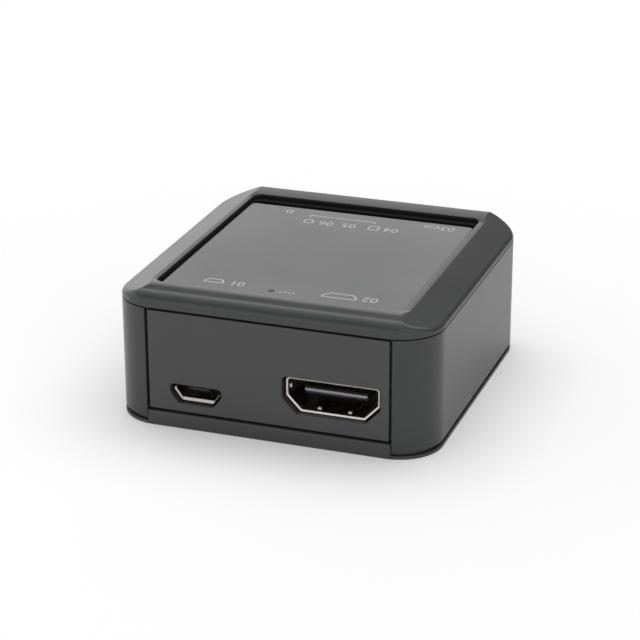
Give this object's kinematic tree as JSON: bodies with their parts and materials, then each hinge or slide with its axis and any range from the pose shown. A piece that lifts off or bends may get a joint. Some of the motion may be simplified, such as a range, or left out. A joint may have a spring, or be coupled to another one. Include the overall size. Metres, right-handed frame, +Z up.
{
  "type": "hdmi audio converter",
  "caption": "Small black box with a sloped lid and sunk label; HDMI and micro-USB sockets in front, HDMI, shuttered optical and stereo jack outputs behind.",
  "frame": {"origin": "centre of the underside, on the surface that the box stands on", "axes": "+X to the right along the front panel, +Y from the front panel to the rear panel, +Z up"},
  "size_m": [0.052, 0.053, 0.0222],
  "materials": {
    "case_plastic": "fine satin texture",
    "panel_plastic": "satin",
    "label_film": "printed satin film",
    "clear_acrylic": "polished",
    "screw_steel": "zinc plated",
    "board_laminate": "solder mask",
    "chip_resin": "moulded",
    "tinned_leads": "tinned",
    "ferrite": "sintered",
    "socket_steel": "nickel plated sheet",
    "can_aluminium": "drawn",
    "ceramic": "fired",
    "resistor_glaze": "glazed",
    "led_resin": "clear over white",
    "socket_plastic": "moulded",
    "contact_gold": "gold flash",
    "shutter_plastic": "moulded",
    "emitter_resin": "clear red",
    "jack_nickel": "nickel plated"
  },
  "bodies": {
    "converter": {"base_cover": "case_plastic", "side_frame": "case_plastic", "top_cover": "case_plastic", "label_plate": "label_film", "light_pipe": "clear_acrylic", "front_panel": "panel_plastic", "rear_panel": "panel_plastic", "case_screws": "screw_steel", "circuit_board": "board_laminate", "board_screws": "screw_steel", "main_chip": "chip_resin", "main_chip_leads": "tinned_leads", "audio_chip": "chip_resin", "memory_chip": "chip_resin", "voltage_regulator": "chip_resin", "power_inductor": "ferrite", "crystal": "socket_steel", "electrolytic_capacitors": "can_aluminium", "chip_capacitors": "ceramic", "chip_resistors": "resistor_glaze", "status_led": "led_resin", "hdmi_in_shell": "socket_steel", "hdmi_in_insulator": "socket_plastic", "hdmi_in_contacts": "contact_gold", "hdmi_out_shell": "socket_steel", "hdmi_out_insulator": "socket_plastic", "hdmi_out_contacts": "contact_gold", "micro_usb_shell": "socket_steel", "micro_usb_insulator": "socket_plastic", "micro_usb_contacts": "contact_gold", "optical_housing": "socket_plastic", "shutter_pin": "screw_steel", "shutter_spring": "screw_steel", "optical_emitter": "emitter_resin", "audio_jack_body": "socket_plastic", "audio_jack_sleeve": "jack_nickel", "audio_jack_contacts": "tinned_leads"},
    "shutter": {"optical_shutter": "shutter_plastic"}
  },
  "joints": [
    {"name": "shutter_hinge", "type": "hinge", "parent": "converter", "child": "shutter", "pos_m": [0.013, 0.0236, 0.0134], "axis": [-1, 0, 0], "range_deg": [0, 86], "stiffness_Nm_per_rad": 0.00005, "springref_deg": -28.65}
  ]
}
